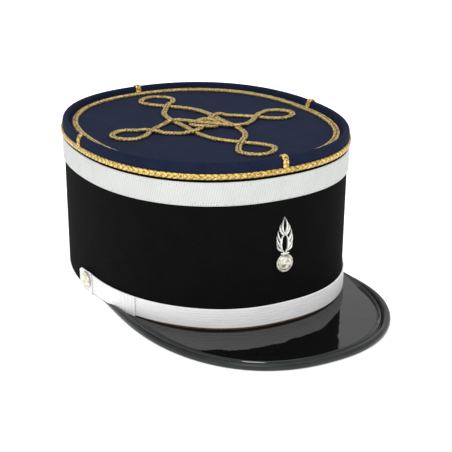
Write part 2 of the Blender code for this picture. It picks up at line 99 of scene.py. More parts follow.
# Laces and braids
LACE_BOTTOM = 0.0761
LACE_RISE = 0.0366
LACE_TOP = 0.0907
LACE_THICKNESS = 0.0008
LACE_EDGE_ROUND = 0.0003
BRAID_BOTTOM = 0.0924
BRAID_HEIGHT = 0.0036
BRAID_THICKNESS = 0.0012
BRAID_PITCH = 0.0038
BRAID_INSIDE = SKIRT_OUTSIDE
BRAID_OVER_SKIRT = 0.0003
SKIRT_BOTTOM = BRAID_BOTTOM + BRAID_OVER_SKIRT
DISC_BRAID_INSET = 0.0013
DISC_BRAID_WIDTH = 0.0043
DISC_BRAID_THICKNESS = 0.0017
RISER_WIDTH = 0.0041
RISER_THICKNESS = 0.0011
RISER_PITCH = 0.0030
RISER_CLEARANCE = 0.0001
FINE_PITCH = 0.0022

# A riser's last points: distance in from the rim's foot, and height over the disc
RISER_FOOT = [(0.0001, 0.0010), (0.0012, 0.0005)]

# Plaits: depth of the cleft in the middle, slant of the lobes, and samples of the mesh
PLAIN_PLAIT = {"cleft": 0.25, "slant": 0.55, "samples": 14, "across": 19}
FINE_PLAIT = {"cleft": 0.9, "slant": 0.9, "samples": 9, "across": 15}

# Crown knot
KNOT_CORD_WIDTH = 0.0039
KNOT_CORD_THICKNESS = 0.0015
KNOT_LIFT = 0.0011
KNOT_LONG_REACH = 0.0778
KNOT_LONG_WAIST = 0.0135
KNOT_LONG_LOOP = 0.0112
KNOT_LONG_SIDEWAYS = 0.0009
KNOT_WIDE_REACH = 0.0623
KNOT_WIDE_WAIST = 0.0148
KNOT_WIDE_LOOP = 0.0105
KNOT_WIDE_FORWARD = 0.0022
KNOT_WIDE_TURN = math.radians(-2.5)
KNOT_RING_RADIUS = 0.0084
KNOT_HUMP_FLAT = 0.0030
KNOT_HUMP_RAMP = 0.0065
KNOT_ROW_SAMPLES = 24

# Peak
PEAK_RIGHT_INSET = 0.0017
PEAK_LEFT_INSET = 0.0077
PEAK_RIGHT_HALF_WIDTH = BASE_WIDTH / 2 - PEAK_RIGHT_INSET
PEAK_LEFT_HALF_WIDTH = BASE_WIDTH / 2 - PEAK_LEFT_INSET
PEAK_RIGHT_SHOULDER = 0.0510
PEAK_LEFT_SHOULDER = 0.0690
PEAK_PROJECTION = 0.0515
PEAK_FRONT = BASE_LENGTH / 2 + PEAK_PROJECTION
PEAK_POWER = 2.28
PEAK_UNDERSIDE = 0.0008
PEAK_TOP = 0.0024

# The plate's ends, and its edge and the flat beside it as distances in from the binding
PLATE_LEAST_REACH = 0.0016
PLATE_EDGE = (0.0015, 0.0068)
PLATE_FLAT = (0.0074, 0.0100)
PLATE_EDGE_ROOM = 0.0115

# The binding that is rolled round the plate
BINDING_RADIUS = 0.0021
BINDING_END_RADIUS = 0.0009
BINDING_LEAST_REACH = -0.0006
BINDING_CLEARANCE = 0.00005
BINDING_SQUARENESS = 0.85
BINDING_LEFT_TAPER = (math.radians(30.0), math.radians(56.0))
BINDING_RIGHT_TAPER = (math.radians(58.0), math.radians(75.0))

# Bead and grooves in the plate: distance in from the binding's middle, height, and spread
PLATE_RELIEF = [(0.0040, 0.00110, 0.00080), (0.0022, -0.00060, 0.00030), (0.0058, -0.00035, 0.00030)]

# Chin strap
STRAP_BOTTOM = 0.0036
STRAP_WIDTH = 0.0121
STRAP_THICKNESS = 0.0008
STRAP_CORD_PITCH = STRAP_WIDTH / 7
STRAP_CORD_DEPTH = 0.00008
STRAP_LEFT_DIP = 0.0018
STRAP_RIGHT_DIP = 0.0021
STRAP_LEFT_SLOPE = (0.0, math.radians(50.0))
STRAP_RIGHT_SLOPE = (math.radians(28.0), math.radians(80.0))
STRAP_END = math.radians(88.0)
BACKING_THICKNESS = 0.0006
BACKING_SHOW = 0.0011
BACKING_TUCK = 0.0001
BACKING_EDGE_ROUND = 0.0002
STRAP_INSIDE = 0.0005
STRAP_OUTSIDE = STRAP_INSIDE + STRAP_THICKNESS
SLIDER_ANGLE = math.radians(58.0)
SLIDER_LENGTH = 0.0122
SLIDER_THICKNESS = 0.0006
SLIDER_OVERHANG = 0.0006
SLIDER_CORD_PITCH = SLIDER_LENGTH / 4
SLIDER_CORD_DEPTH = 0.00007
TAB_INSIDE = STRAP_OUTSIDE + GAP
TAB_THICKNESS = 0.0007
TAB_OUTSIDE = TAB_INSIDE + TAB_THICKNESS
BUTTON_ANGLE = math.radians(87.0)
TAB_FRONT = 0.0050
TAB_REAR = 0.0121
TAB_BOTTOM = 0.0006
TAB_FRONT_TOP = 0.0150
TAB_REAR_TOP = 0.0132
TAB_END_ROUND = 0.0014
TAB_CORD_DEPTH = 0.00012
BUTTON_HEIGHT_ABOVE_TABLE = 0.0093
BUTTON_RADIUS = 0.0053
BUTTON_DEPTH = 0.0026

# Badge
BADGE_BOTTOM = 0.0350
BADGE_HEIGHT = 0.0341
BADGE_HALF_WIDTH = 0.0054
BADGE_PLATE_THICKNESS = 0.0013
BADGE_BALL_RADIUS = 0.0057
BADGE_BALL_DEPTH = 0.0023
BADGE_BALL_NARROWING = 0.97
BADGE_BALL_DENT = 0.10
COLLAR_HEIGHT = 2.06 * BADGE_BALL_RADIUS
COLLAR_HALF_WIDTH = 0.0029
COLLAR_RADIUS = 0.00075
COLLAR_OUT = 0.0008

# Turned rims in shares of radius and depth; a dome follows inside each
BUTTON_RIM = [
    (0.80, 0.0), (0.97, 0.06), (1.0, 0.20), (1.0, 0.42), (0.985, 0.53),
    (0.95, 0.60), (0.90, 0.61), (0.865, 0.55), (0.85, 0.50), (0.83, 0.50),
]
BALL_RIM = [
    (0.97, 0.0), (1.0, 0.14), (0.99, 0.36), (0.955, 0.50), (0.90, 0.54), (0.85, 0.48), (0.82, 0.40),
]

# Lace weave: ribs, corded edges, stitch marks above its lower edge, and its colours
LACE_RIB_PITCH = 0.0015
LACE_RIB_SLANT = 0.22
LACE_RIB_DEPTH = 0.00007
LACE_EDGE_WIDTH = 0.0012
LACE_EDGE_BLEND = 0.0006
LACE_CORD_PITCH = 0.0007
LACE_CORD_DEPTH = 0.00010
LACE_MARK_ROWS = (0.0009, 0.0021, 0.0124)
LACE_MARK_SIZE = 0.0005
LACE_MARK_PITCH = 0.0047
LACE_DARK = (0.40, 0.41, 0.40)
LACE_MIDDLE = (0.51, 0.52, 0.51)
LACE_LIGHT = (0.60, 0.61, 0.59)
LACE_MARK_COLOUR = (0.16, 0.14, 0.12)
STRAP_DARK = (0.64, 0.645, 0.64)
STRAP_MIDDLE = (0.78, 0.785, 0.78)
STRAP_LIGHT = (0.87, 0.87, 0.865)

# Samples of the meshes, and a quarter turn
AROUND = 384
WALL_AROUND = 512
BRAID_AROUND = 720
LACE_AROUND = 2304
PEAK_SAMPLES = 420
TURNED_SIDES = 72
SIDE = math.pi / 2

# A quarter of each knot figure, from its middle to the end of its loop: which width a row
# follows, its share of that width, its share of the figure's reach, and whether the braid
# lies over what it crosses there: not at all, on its mirrored way back, or both ways.
KNOT_LONG_ROWS = [
    ("waist", 1.00, 0.00, ""),
    ("waist", 1.04, 0.22, ""),
    ("waist", 0.80, 0.44, ""),
    ("loop", 0.00, 0.64, "back"),
    ("loop", -0.62, 0.74, ""),
    ("loop", -1.00, 0.86, ""),
    ("loop", -0.64, 0.96, ""),
    ("loop", 0.00, 1.00, ""),
]
KNOT_WIDE_ROWS = [
    ("waist", 0.00, 0.000, ""),
    ("waist", 0.98, 0.225, "both"),
    ("waist", 0.70, 0.410, ""),
    ("loop", 0.00, 0.600, "back"),
    ("loop", -0.64, 0.700, ""),
    ("loop", -1.00, 0.830, ""),
    ("loop", -0.66, 0.950, ""),
    ("loop", 0.00, 1.000, ""),
]

# One side of the badge's flame: each tongue's path, from root to tip in shares of the
# badge's half width and height, and its width in metres.
FLAME_TONGUES = [
    ([(0.03, 0.69), (0.28, 0.79), (0.28, 0.88), (0.02, 1.00)], 0.0013),
    ([(0.10, 0.66), (0.34, 0.71), (0.57, 0.78), (0.50, 0.87)], 0.0013),
    ([(0.36, 0.54), (0.58, 0.60), (0.78, 0.67), (0.80, 0.77)], 0.0013),
    ([(0.48, 0.45), (0.66, 0.50), (0.88, 0.57), (0.95, 0.68)], 0.0013),
    ([(0.40, 0.38), (0.58, 0.41), (0.82, 0.45), (0.97, 0.56)], 0.0013),
    ([(0.14, 0.37), (0.44, 0.46), (0.42, 0.58), (0.06, 0.71)], 0.0015),
]


def smooth_step(value):
    """A soft step from 0 to 1."""
    value = np.clip(value, 0.0, 1.0)
    return value * value * (3 - 2 * value)


def oval_radius(angle, level):
    """Distance from the oval's axis to the side wall's outer face; angle 0 is the front."""
    share = level / WALL_TOP
    half_length = (BASE_LENGTH + (TOP_LENGTH - BASE_LENGTH) * share) / 2
    half_width = (BASE_WIDTH + (TOP_WIDTH - BASE_WIDTH) * share) / 2
    along = np.abs(np.cos(angle) / half_length) ** OVAL_POWER
    across = np.abs(np.sin(angle) / half_width) ** OVAL_POWER
    return (along + across) ** (-1 / OVAL_POWER) + TOP_LEAN * share * np.cos(angle)


def plan_points(angle, radius, height):
    """Points given round the oval's axis, as an array with x, y and z last."""
    angle, radius, height = np.broadcast_arrays(angle, radius, height)
    return np.stack([radius * np.sin(angle), CENTRE_Y - radius * np.cos(angle), height], axis=-1)


def wall_points(angle, offset, level, rise=0.0):
    """Points outside the side wall; rise tilts their level up towards the front."""
    radius = oval_radius(angle, level) + offset
    return plan_points(angle, radius, level + rise * radius * np.cos(angle))


def round_angles(count=AROUND):
    """Angles evenly round a full turn."""
    return np.arange(count) * 2 * math.pi / count


# Meshes


def grid_object(name, points, wrap_u, wrap_v, uv=None, sharp=None):
    """A mesh through a grid of points, closed along u or v as asked, and capped where one is open."""
    nu, nv = points.shape[:2]
    cells_u = nu if wrap_u else nu - 1
    cells_v = nv if wrap_v else nv - 1
    i, j = np.meshgrid(np.arange(cells_u), np.arange(cells_v), indexing="ij")
    i, j = i.ravel(), j.ravel()
    i2, j2 = (i + 1) % nu, (j + 1) % nv
    quads = np.stack([i * nv + j, i2 * nv + j, i2 * nv + j2, i * nv + j2], axis=1)
    flat = points.reshape(-1, 3)
    volume = signed_volume(flat, quads)
    faces = [tuple(q) for q in (quads if volume > 0 else quads[:, ::-1]).tolist()]
    corners_uv = None
    if uv is not None:
        ui, uj = i + 1, j + 1
        corners = [(i, j), (ui, j), (ui, uj), (i, uj)]
        corners_uv = np.stack([uv[a, b] for a, b in corners], axis=1)
        if volume <= 0:
            corners_uv = corners_uv[:, ::-1]
        corners_uv = corners_uv.reshape(-1, 2)
    rings = []
    if wrap_v and not wrap_u:
        rings = [range(nv), range(nu * nv - 1, (nu - 1) * nv - 1, -1)]
    if wrap_u and not wrap_v:
        rings = [range((nu - 1) * nv, -1, -nv), range(nv - 1, nu * nv, nv)]
    faces += [tuple(ring if volume > 0 else reversed(ring)) for ring in rings]
    mesh = bpy.data.meshes.new(name)
    mesh.from_pydata(flat.tolist(), [], faces)
    if corners_uv is not None:
        layer = mesh.uv_layers.new(name="UVMap")
        values = np.zeros((len(mesh.loops), 2), np.float32)
        values[: len(corners_uv)] = corners_uv
        layer.data.foreach_set("uv", values.ravel())
    mesh.shade_smooth()
    if sharp:
        mesh.set_sharp_from_angle(angle=math.radians(sharp))
    item = bpy.data.objects.new(name, mesh)
    bpy.context.scene.collection.objects.link(item)
    return item


def signed_volume(points, quads):
    """Six times the volume that the quads enclose, apart from caps."""
    centre = points.mean(axis=0)
    a, b, c, d = (points[quads[:, k]] - centre for k in range(4))
    one = np.einsum("ij,ij->i", a, np.cross(b, c))
    two = np.einsum("ij,ij->i", a, np.cross(c, d))
    return float((one + two).sum())


def finish_piece(item, material, slot, *nodes):
    """Gives a piece its material, and lets it ride in place of its solids."""
    item.data.materials.append(material)
    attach(item, "root")
    if nodes:
        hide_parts(*nodes)


def run_length(points, closed):
    """Length along a row of points, with the closing step at the end if closed."""
    steps = np.linalg.norm(np.diff(points, axis=0), axis=1)
    if closed:
        steps = np.append(steps, np.linalg.norm(points[0] - points[-1]))
    return np.concatenate([[0.0], np.cumsum(steps)])


def wall_band(name, angles, wrap, depths, levels, rows, relief, edge, rises=(0.0, 0.0)):
    """A flat band that follows the side wall, with rounded edges and a relief on its face.

    depths are its inside and outside offsets, levels and rises those of its lower and upper
    edge, edge the rounding of both, and relief may be None."""
    inside, outside = depths
    low, high = (np.broadcast_to(level, angles.shape) for level in levels)
    share = np.linspace(0.0, 1.0, rows)
    face = low[:, None] + (high - low)[:, None] * share[None, :]
    from_edge = np.minimum(share, 1 - share)[None, :] * (high - low)[:, None]
    rounding = np.clip(from_edge / edge, 0.0, 1.0)
    depth = outside - edge * (1 - np.sqrt(1 - (1 - rounding) ** 2))
    base = plan_points(angles, oval_radius(angles, low) + outside, low)
    along = run_length(base, wrap)
    if relief is not None:
        wide = (high - low)[:, None]
        depth = depth + relief(along[: len(angles), None], face - low[:, None], wide)
    back = np.stack([high, low], axis=1)
    level = np.concatenate([face, back], axis=1)
    offset = np.concatenate([depth, np.full_like(back, inside)], axis=1)
    rise = rises[0] + (rises[1] - rises[0]) * np.concatenate([share, [1.0, 0.0]])[None, :]
    points = wall_points(angles[:, None], offset, level, rise)
    wide = float((high - low).mean())
    metres_v = np.concatenate([share * wide, [wide + outside, 2 * wide, 2 * wide + outside]])
    metres_u = along if wrap else np.append(along, along[-1])
    uv = np.stack(np.broadcast_arrays(metres_u[:, None], metres_v[None, :]), axis=-1)
    return grid_object(name, points, wrap, True, uv, sharp=50)


# Materials


class Shader:
    """A node material with short calls for its parts."""

    def __init__(self, name):
        self.material = bpy.data.materials.new(name)
        self.material.use_nodes = True
        self.tree = self.material.node_tree
        self.surface = self.tree.nodes["Principled BSDF"]

    def node(self, kind, inputs=None, **settings):
        item = self.tree.nodes.new(kind)
        for key, value in settings.items():
            setattr(item, key, value)
        for key, value in (inputs or {}).items():
            self.feed(item.inputs[key], value)
        return item

    def feed(self, socket, value):
        if isinstance(value, bpy.types.NodeSocket):
            self.tree.links.new(value, socket)
        elif isinstance(value, tuple) and len(value) == 3 and socket.type == "RGBA":
            socket.default_value = (*value, 1.0)
        else:
            socket.default_value = value

    def set(self, **values):
        for key, value in values.items():
            self.feed(self.surface.inputs[key.replace("_", " ")], value)

    def math(self, operation, a, b=0.0):
        return self.node("ShaderNodeMath", {0: a, 1: b}, operation=operation).outputs[0]

    def place(self):
        return self.node("ShaderNodeTexCoord").outputs["Object"]

    def uv(self):
        place = self.node("ShaderNodeTexCoord").outputs["UV"]
        split = self.node("ShaderNodeSeparateXYZ", {0: place})
        return split.outputs[0], split.outputs[1]

    def noise(self, scale, detail=3.0, roughness=0.55, vector=None):
        inputs = {"Vector": vector or self.place(), "Scale": scale}
        inputs.update(Detail=detail, Roughness=roughness)
        return self.node("ShaderNodeTexNoise", inputs).outputs[0]

    def ramp(self, value, *stops):
        item = self.node("ShaderNodeValToRGB", {0: value})
        ramp = item.color_ramp
        while len(ramp.elements) < len(stops):
            ramp.elements.new(0.5)
        for element, (position, colour) in zip(ramp.elements, stops):
            element.position = position
            element.color = (*colour, 1.0)
        return item.outputs[0]

    def mix(self, share, one, two, blend="MIX"):
        item = self.node("ShaderNodeMix", data_type="RGBA", blend_type=blend)
        self.feed(item.inputs[0], share)
        self.feed(item.inputs[6], one)
        self.feed(item.inputs[7], two)
        return item.outputs[2]

    def bump(self, height, distance, strength):
        inputs = {"Height": height, "Distance": distance, "Strength": strength}
        return self.node("ShaderNodeBump", inputs).outputs[0]

    def sine(self, value, cycles):
        """A wave from 0 to 1 with so many cycles for each unit of value."""
        turned = self.math("SINE", self.math("MULTIPLY", value, 2 * math.pi * cycles))
        return self.blend((turned, 0.5), (0.5, 1.0))

    def blend(self, *parts):
        """The sum of (value, weight) parts."""
        total = None
        for value, weight in parts:
            term = self.math("MULTIPLY", value, weight)
            total = term if total is None else self.math("ADD", total, term)
        return total


def wool(name, dark, light, sheen):
    """Felted wool cloth: a short nap over a faint weave, slightly mottled."""
    s = Shader(name)
    fibres = s.noise(2600.0, 4.0, 0.65)
    weave = s.noise(900.0, 2.0, 0.5)
    mottling = s.noise(90.0, 3.0, 0.5)
    tone = s.blend((fibres, 0.45), (weave, 0.25), (mottling, 0.30))
    s.set(Base_Color=s.ramp(tone, (0.34, dark), (0.66, light)), Roughness=0.95)
    s.set(Sheen_Weight=sheen, Sheen_Roughness=0.5, Specular_IOR_Level=0.05)
    s.set(Normal=s.bump(s.blend((fibres, 0.7), (weave, 0.5)), 0.00035, 0.6))
    return s.material


def gold(name, dark, middle, light, groove_shade_colour, fine):
    """Metal-wrapped thread: U runs with the plait's turns, V is the depth of its grooves. Its colour holds
    painted glints, and painted shade that darkens it in the grooves.
    """
    s = Shader(name)
    turns, groove = s.uv()
    threads = s.sine(turns, fine)
    # The glint noise paints sparkle into the colour: painted glints and painted shade over uneven thread
    # tone. It also varies roughness and relief.
    glints = s.noise(850.0, 3.0, 0.8)
    tone = s.blend((threads, 0.18), (glints, 0.82))
    thread_colour = s.ramp(tone, (0.39, dark), (0.49, middle), (0.58, light))
    # Painted shade: the colour darkens towards the groove shade colour in the hollows that V marks.
    depth = s.ramp(groove, (0.30, (0.0, 0.0, 0.0)), (0.85, (1.0, 1.0, 1.0)))
    s.set(Base_Color=s.mix(depth, thread_colour, groove_shade_colour), Metallic=0.88)
    s.set(Roughness=s.blend((glints, 0.3), (0.2, 1.0)))
    s.set(Normal=s.bump(s.blend((threads, 0.6), (glints, 1.0)), 0.00016, 0.9))
    return s.material


def lace(name):
    """Woven silver-white lace with slanting ribs, corded edges and small dark stitch marks."""
    s = Shader(name)
    along, across = s.uv()
    ribs = s.sine(s.blend((along, 1.0), (across, -LACE_RIB_SLANT)), 1 / LACE_RIB_PITCH)
    threads = s.noise(1700.0, 3.0, 0.65)
    worn = s.noise(70.0, 2.0, 0.5)
    tone = s.blend((ribs, 0.24), (threads, 0.50), (worn, 0.26))
    cloth = s.ramp(tone, (0.22, LACE_DARK), (0.50, LACE_MIDDLE), (0.78, LACE_LIGHT))
    marks = None
    for place in LACE_MARK_ROWS:
        near = s.math("ABSOLUTE", s.math("SUBTRACT", across, place))
        in_row = s.math("LESS_THAN", near, LACE_MARK_SIZE / 2)
        beat = s.math("FRACT", s.blend((along, 1 / LACE_MARK_PITCH), (place * 603.0, 1.0)))
        in_step = s.math("LESS_THAN", beat, LACE_MARK_SIZE / LACE_MARK_PITCH)
        chosen = s.math("GREATER_THAN", s.noise(170.0, 1.0, 0.5), 0.5)
        spot = s.math("MULTIPLY", s.math("MULTIPLY", in_row, in_step), chosen)
        marks = spot if marks is None else s.math("MAXIMUM", marks, spot)
    s.set(Base_Color=s.mix(s.math("MULTIPLY", marks, 0.75), cloth, LACE_MARK_COLOUR))
    s.set(Roughness=0.6, Specular_IOR_Level=0.25)
    s.set(Normal=s.bump(s.blend((ribs, 0.8), (threads, 1.0)), 0.00012, 0.6))
    return s.material


def strap_lace(name, cross_pitch, tone_and_painted_shade):
    """Flat silver-white lace: lengthwise cords, or cross cords at the given pitch. The last argument
    darkens the colour as a whole: the lace's own tone, and for the slider painted shade.
    """
    s = Shader(name)
    along, across = s.uv()
    streaks = s.node("ShaderNodeCombineXYZ", {0: s.math("MULTIPLY", along, 0.06), 1: across}).outputs[0]
    lines = s.noise(1300.0, 2.0, 0.5, streaks)
    weight = 0.55
    if cross_pitch:
        lines = s.sine(along, 1 / cross_pitch)
        weight = 0.20
    threads = s.noise(1500.0, 3.0, 0.65)
    tone = s.blend((lines, weight), (threads, 1 - weight))
    cloth = s.ramp(tone, (0.26, STRAP_DARK), (0.50, STRAP_MIDDLE), (0.74, STRAP_LIGHT))
    s.set(Base_Color=s.mix(1.0, cloth, (tone_and_painted_shade, tone_and_painted_shade, tone_and_painted_shade), "MULTIPLY"))
    s.set(Roughness=0.5, Specular_IOR_Level=0.3)
    s.set(Normal=s.bump(s.blend((lines, 0.8), (threads, 0.8)), 0.0001, 0.6))
    return s.material


def patent(name):
    """Lacquered leather: a mirror coat, very slightly uneven, over black."""
    s = Shader(name)
    waves = s.noise(38.0, 2.0, 0.5)
    ripples = s.noise(260.0, 2.0, 0.5)
    dust = s.noise(1500.0, 3.0, 0.7)
    s.set(Base_Color=s.ramp(dust, (0.45, (0.0032, 0.0032, 0.0032)), (0.8, (0.010, 0.010, 0.010))))
    s.set(Roughness=s.blend((dust, 0.03), (0.03, 1.0)), IOR=1.47)
    s.set(Normal=s.bump(s.blend((waves, 1.0), (ripples, 0.07)), 0.0016, 0.25))
    return s.material


def leather(name, dark, light, roughness, shine):
    """Leather with a fine pebble grain."""
    s = Shader(name)
    cells = s.node("ShaderNodeTexVoronoi", {"Vector": s.place(), "Scale": 1500.0}).outputs["Distance"]
    patches = s.noise(160.0, 3.0, 0.55)
    s.set(Base_Color=s.ramp(patches, (0.35, dark), (0.7, light)), Specular_IOR_Level=shine)
    s.set(Roughness=s.blend((patches, 0.12), (roughness, 1.0)))
    s.set(Normal=s.bump(s.blend((cells, 1.0), (patches, 0.6)), 0.0001, 0.4))
    return s.material


def metal(name, dark, light, roughness, metallic):
    """Stamped metal with a faint satin grain and darker hollows of wear."""
    s = Shader(name)
    wear = s.noise(420.0, 4.0, 0.6)
    grain = s.noise(5200.0, 2.0, 0.6)
    s.set(Base_Color=s.ramp(wear, (0.32, dark), (0.62, light)), Metallic=metallic)
    s.set(Roughness=s.math("ADD", s.math("MULTIPLY", wear, 0.18), roughness))
    s.set(Normal=s.bump(s.math("ADD", grain, s.math("MULTIPLY", wear, 0.5)), 0.00008, 0.5))
    return s.material


def pale_floor(name):
    """Plain matt white studio table, faintly lit from within so that it casts back light."""
    s = Shader(name)
    grain = s.noise(60.0, 3.0, 0.5)
    s.set(Base_Color=s.ramp(grain, (0.3, (0.90, 0.90, 0.90)), (0.7, (0.93, 0.93, 0.93))), Roughness=0.9)
    s.set(Specular_IOR_Level=0.0, Emission_Color=(1.0, 1.0, 1.0), Emission_Strength=0.45)
    return s.material


# Wall, crown and lace


def cloth_ripple(angles, level):
    """Slight unevenness of cloth drawn over card, in metres."""
    slow = np.sin(3 * angles + 40 * level) + 0.6 * np.sin(7 * angles - 65 * level + 1.3)
    return CLOTH_RIPPLE * slow


def build_side_wall(material):
    """The black cloth tube, its lower edge turned under, with a closed seam at the rear."""
    angles = round_angles(WALL_AROUND)[:, None]
    turns = np.linspace(0.0, math.pi / 2, 5)
    fold = [(WALL_EDGE_ROUND * (1 - math.sin(t)), WALL_EDGE_ROUND * (1 - math.cos(t))) for t in turns]
    rows = [(-inward, z) for inward, z in fold]
    rows += [(0.0, z) for z in np.linspace(WALL_FOLD_TOP, WALL_TOP, 26)]
    rows += [(-WALL_THICKNESS, z) for z in np.linspace(WALL_TOP, WALL_FOLD_TOP, 8)]
    rows += [(inward - WALL_THICKNESS, z) for inward, z in fold[::-1]]
    rows = np.array(rows)
    level = rows[None, :, 1]
    outer = rows[None, :, 0] > -WALL_THICKNESS / 2
    seam = SEAM_DEPTH * np.exp(-(((angles - math.pi) / SEAM_HALF_ANGLE) ** 2))
    offset = rows[None, :, 0] + np.where(outer, cloth_ripple(angles, level) - seam, 0.0)
    points = wall_points(angles, offset, level, CROWN_RISE * level / WALL_TOP)
    item = grid_object("wall_cloth", points, True, True, sharp=60)
    finish_piece(item, material, "black_cloth", "side_wall")


def rim_rows(steps):
    """The rolled rim's section, from its outer shoulder over the ridge to its inner side."""
    rows = []
    for i in range(2 * steps + 1):
        a = math.pi / 2 * i / steps
        reach = RIM_OUTER_ROUND if i <= steps else RIM_INNER_ROUND
        rows.append((RIDGE_OFFSET + reach * math.cos(a), SHOULDER_LEVEL + RIM_SHOULDER_DROP * math.sin(a)))
    return rows


def build_crown_top(material):
    """Navy cloth over the sunken disc and the rolled rim, down to the thin skirt."""
    angles = round_angles()
    disc = np.linspace(*DISC_SHARES, 22)
    rim = [(FOOT_OFFSET, DISC_TOP)] + rim_rows(10)[::-1]
    skirt = [(SKIRT_OUTSIDE, z) for z in np.linspace(SHOULDER_LEVEL - SKIRT_BEND, SKIRT_BOTTOM, 5)]
    under = [(GAP, SKIRT_BOTTOM), (GAP, DISC_TOP - DISC_THICKNESS)]
    rows = np.array(rim + skirt + under)
    outer = wall_points(angles[:, None], rows[None, :, 0], rows[None, :, 1], CROWN_RISE)
    foot = oval_radius(angles, DISC_TOP) + FOOT_OFFSET
    radius = foot[:, None] * disc[None, :]
    sag = DISC_SAG * np.cos(disc * math.pi / 2)[None, :]
    height = DISC_TOP + CROWN_RISE * radius * np.cos(angles)[:, None] - sag
    top = plan_points(angles[:, None], radius, height)
    inner_radius = (oval_radius(angles, DISC_TOP) + GAP) * DISC_SHARES[0]
    underside = DISC_TOP - DISC_THICKNESS + CROWN_RISE * inner_radius * np.cos(angles)
    below = plan_points(angles, inner_radius, underside)
    points = np.concatenate([top, outer, below[:, None]], axis=1)
    item = grid_object("crown_cloth", points, True, False, sharp=55)
    finish_piece(item, material, "navy_cloth", "crown_top")


def build_lace(material):
    """The broad lace: slanting ribs between two corded edges."""
    angles = round_angles(LACE_AROUND)

    def relief(along, height, wide):
        from_edge = np.minimum(height, wide - height)
        middle = smooth_step((from_edge - LACE_EDGE_WIDTH) / LACE_EDGE_BLEND)
        ribs = np.abs(np.sin(math.pi * (along - LACE_RIB_SLANT * height) / LACE_RIB_PITCH)) ** 0.6
        cords = np.abs(np.sin(math.pi * height / LACE_CORD_PITCH))
        return LACE_RIB_DEPTH * middle * (ribs - 1) + LACE_CORD_DEPTH * (1 - middle) * (cords - 1)

    levels = (LACE_BOTTOM, LACE_TOP)
    depths = (GAP, GAP + LACE_THICKNESS)
    rises = (LACE_RISE, CROWN_RISE)
    item = wall_band("lace", angles, True, depths, levels, 30, relief, LACE_EDGE_ROUND, rises)
    finish_piece(item, material, "silver_lace", "lace_band")


# Braids


def braid(name, path, up, width, thickness, pitch, closed, cleft, slant, samples, across):
    """A plaited braid laid along a path, standing up off its base, as a chain of slanting lobes."""
    places = run_length(path, closed)
    total = places[-1]
    turns = max(2, round(total / pitch))
    count = turns * samples + (0 if closed else 1)
    wanted = np.linspace(0.0, total, turns * samples + 1)[:count]
    if closed:
        path = np.concatenate([path, path[:1]])
        up = np.concatenate([up, up[:1]])
    centre = np.stack([np.interp(wanted, places, path[:, k]) for k in range(3)], axis=1)
    normal = np.stack([np.interp(wanted, places, up[:, k]) for k in range(3)], axis=1)
    if closed:
        ahead = np.roll(centre, -1, axis=0) - np.roll(centre, 1, axis=0)
    else:
        ahead = np.gradient(centre, axis=0)
    ahead /= np.linalg.norm(ahead, axis=1)[:, None]
    sideways = np.cross(ahead, normal)
    sideways /= np.linalg.norm(sideways, axis=1)[:, None]
    normal = np.cross(sideways, ahead)
    arc = np.linspace(0.0, math.pi, across)
    shift = -np.cos(arc)
    swell = np.sin(arc) ** 0.6
    phase = wanted[:, None] / total * turns + slant * np.abs(shift)[None, :]
    lobe = np.abs(np.sin(math.pi * phase)) ** 0.45
    middle = np.exp(-((shift / 0.14) ** 2))[None, :]
    height = thickness * swell[None, :] * (0.60 + 0.40 * lobe) * (1 - 0.35 * cleft * middle)
    spread = width / 2 * shift[None, :] * (0.96 + 0.04 * lobe)
    face = centre[:, None] + sideways[:, None] * spread[..., None] + normal[:, None] * height[..., None]
    uv = np.zeros((count + 1, across + 1, 2))
    uv[:count, :across, 0] = phase
    # V marks the hollows between lobes, the middle cleft and the edges, where the thread's colour takes
    # painted shade.
    rim = smooth_step((np.abs(shift) - 0.78) / 0.2)[None, :]
    uv[:count, :across, 1] = 1 - lobe * (1 - cleft * middle) * (1 - 0.55 * rim)
    uv[count, :across, 0] = phase[0] + turns
    uv[count, :across, 1] = uv[0, :across, 1]
    uv[:, across] = uv[:, 0]
    return grid_object(name, face, closed, True, uv, sharp=80)


def build_rim_braid(material):
    """Gold braid round the rim, over the lace."""
    angles = round_angles(BRAID_AROUND)
    middle = BRAID_BOTTOM + BRAID_HEIGHT / 2
    path = wall_points(angles, BRAID_INSIDE, middle, CROWN_RISE)
    ahead = np.roll(path, -1, axis=0) - np.roll(path, 1, axis=0)
    out = np.cross(ahead, np.array([0, 0, 1.0]))
    out /= np.linalg.norm(out, axis=1)[:, None]
    sizes = (BRAID_HEIGHT, BRAID_THICKNESS, BRAID_PITCH)
    item = braid("gold_rim_braid", path, out, *sizes, True, **PLAIN_PLAIT)
    finish_piece(item, material, "gold_braid", "rim_braid")


def build_disc_braid(material):
    """Gold braid laid on the disc, just inside the rolled rim."""
    angles = round_angles(BRAID_AROUND)
    middle = FOOT_OFFSET - DISC_BRAID_INSET - DISC_BRAID_WIDTH / 2
    path = wall_points(angles, middle, DISC_TOP + GAP, CROWN_RISE)
    up = np.tile([0.0, CROWN_RISE, 1.0], (len(angles), 1))
    sizes = (DISC_BRAID_WIDTH, DISC_BRAID_THICKNESS, FINE_PITCH)
    item = braid("gold_disc_braid", path, up, *sizes, True, **FINE_PLAIT)
    finish_piece(item, material, "gold_braid", "disc_braid")


